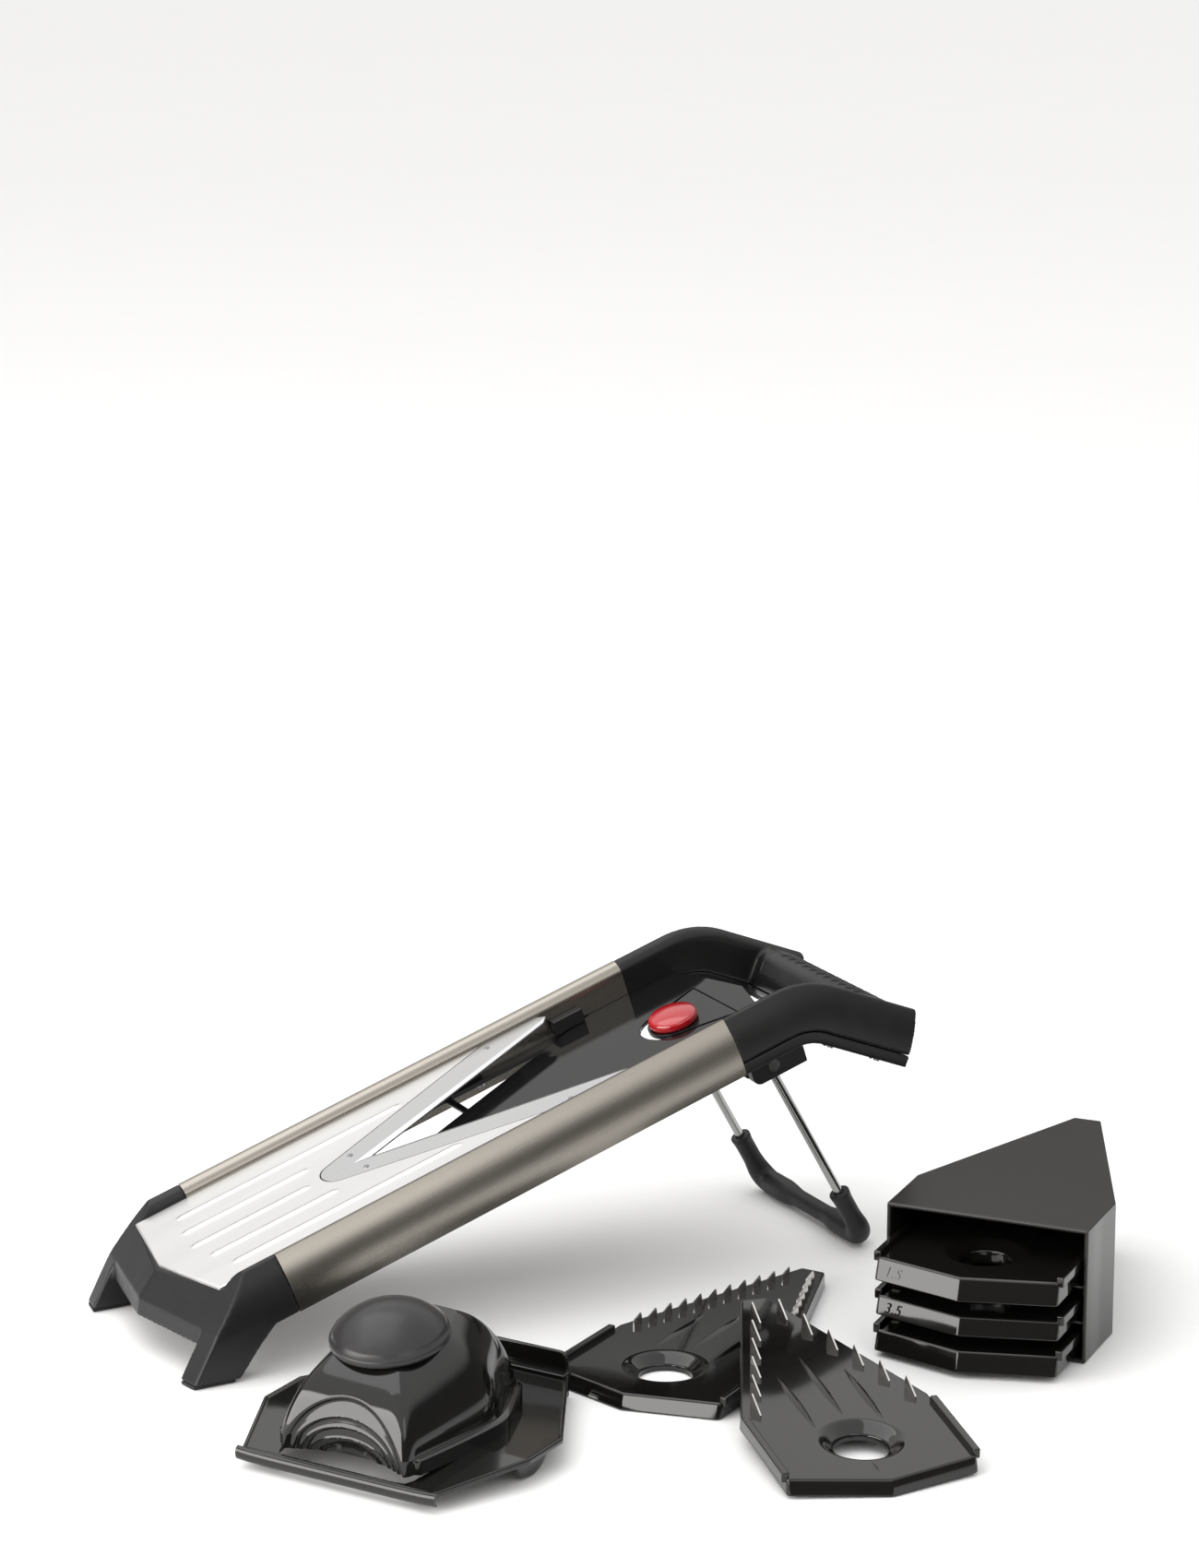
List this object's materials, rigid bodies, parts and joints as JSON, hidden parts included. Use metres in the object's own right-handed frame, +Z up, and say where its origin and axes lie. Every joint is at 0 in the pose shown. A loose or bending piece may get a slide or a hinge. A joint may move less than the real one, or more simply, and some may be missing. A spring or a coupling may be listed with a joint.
{
  "type": "mandoline slicer",
  "caption": "Sloping V-blade kitchen slicer on a folding wire stand, with a hand guard, toothed julienne inserts and a case of thickness inserts.",
  "frame": {"origin": "middle of the whole set's footprint, on the surface it stands on", "axes": "+X from the slicer's foot towards its handle, +Y from the loose pieces towards the slicer, +Z up"},
  "size_m": [0.5318, 0.4164, 0.1565],
  "materials": {
    "foot_plastic": "fine moulded charcoal plastic",
    "pad_rubber": "black rubber",
    "rail_steel": "folded stainless steel, brushed along its length",
    "core_plastic": "black plastic",
    "plate_steel": "satin stainless steel",
    "blade_steel": "ground stainless steel",
    "pin_steel": "bright steel",
    "bed_plastic": "glossy black plastic",
    "block_plastic": "black plastic",
    "button_red": "glossy red plastic",
    "handle_plastic": "soft black plastic with a fine grain",
    "grip_rubber": "ribbed black rubber",
    "wire_chrome": "chromed steel wire",
    "sleeve_rubber": "matt black rubber",
    "insert_plastic": "glossy black plastic",
    "teeth_steel": "ground stainless steel",
    "case_plastic": "satin dark plastic",
    "guard_plastic": "glossy black plastic",
    "knob_plastic": "satin dark plastic"
  },
  "bodies": {
    "frame": {"front_foot": "foot_plastic", "foot_pads": "pad_rubber", "rail_cover_left": "rail_steel", "rail_cover_right": "rail_steel", "rail_core_left": "core_plastic", "rail_core_right": "core_plastic", "ledge_left": "block_plastic", "ledge_right": "block_plastic", "feed_plate": "plate_steel", "blade_left": "blade_steel", "blade_right": "blade_steel", "blade_rivets": "pin_steel", "blade_carrier": "block_plastic", "bed": "bed_plastic", "bed_screws": "pin_steel", "cross_rod": "pin_steel", "guide_blocks": "block_plastic", "handle_upper": "handle_plastic", "handle_lower": "handle_plastic", "handle_screws": "pin_steel", "grip_pad": "grip_rubber", "pivot_block_left": "handle_plastic", "pivot_block_right": "handle_plastic", "pivot_pins": "wire_chrome"},
    "stand": {"stand_wire": "wire_chrome", "stand_sleeve": "sleeve_rubber"},
    "release": {"release_tongue": "bed_plastic", "release_button": "button_red", "release_stem": "block_plastic"},
    "guard": {"guard_shell": "guard_plastic"},
    "plunger": {"plunger_knob": "knob_plastic", "plunger_stem": "guard_plastic", "prong_plate": "guard_plastic", "prongs": "teeth_steel"},
    "case": {"case_shell": "case_plastic", "case_shelves": "case_plastic"},
    "thin": {"insert_thin": "insert_plastic"},
    "medium": {"insert_medium": "insert_plastic"},
    "thick": {"insert_thick": "insert_plastic"},
    "julienne_fine": {"julienne_fine_plate": "insert_plastic", "julienne_fine_teeth": "teeth_steel"},
    "julienne_coarse": {"julienne_coarse_plate": "insert_plastic", "julienne_coarse_teeth": "teeth_steel"}
  },
  "joints": [
    {"name": "stand_fold", "type": "hinge", "parent": "frame", "child": "stand", "pos_m": [0.0928, 0.13963, 0.11499], "axis": [0, 1, 0], "range_deg": [0, 100]},
    {"name": "release_press", "type": "hinge", "parent": "frame", "child": "release", "pos_m": [0.09215, 0.13963, 0.13291], "axis": [0, -1, 0], "range_deg": [0, 6.52], "stiffness_Nm_per_rad": 0.3, "springref_deg": -2.86},
    {"name": "guard_lift", "type": "slide", "parent": "frame", "child": "guard", "axis": [0, 0, 1], "range_m": [0, 0.12]},
    {"name": "plunger_slide", "type": "slide", "parent": "guard", "child": "plunger", "axis": [0, 0, 1], "range_m": [0, 0.02]},
    {"name": "case_lift", "type": "slide", "parent": "frame", "child": "case", "axis": [0, 0, 1], "range_m": [0, 0.12]},
    {"name": "thin_slide", "type": "slide", "parent": "case", "child": "thin", "axis": [-0.7874, -0.6165, 0], "range_m": [-0.002, 0.165]},
    {"name": "medium_slide", "type": "slide", "parent": "case", "child": "medium", "axis": [-0.7874, -0.6165, 0], "range_m": [-0.002, 0.04]},
    {"name": "thick_slide", "type": "slide", "parent": "case", "child": "thick", "axis": [-0.7874, -0.6165, 0], "range_m": [0, 0.048]},
    {"name": "julienne_fine_lift", "type": "slide", "parent": "frame", "child": "julienne_fine", "axis": [0, 0, 1], "range_m": [0, 0.12]},
    {"name": "julienne_coarse_lift", "type": "slide", "parent": "julienne_fine", "child": "julienne_coarse", "axis": [0, 0, 1], "range_m": [0, 0.12]}
  ]
}
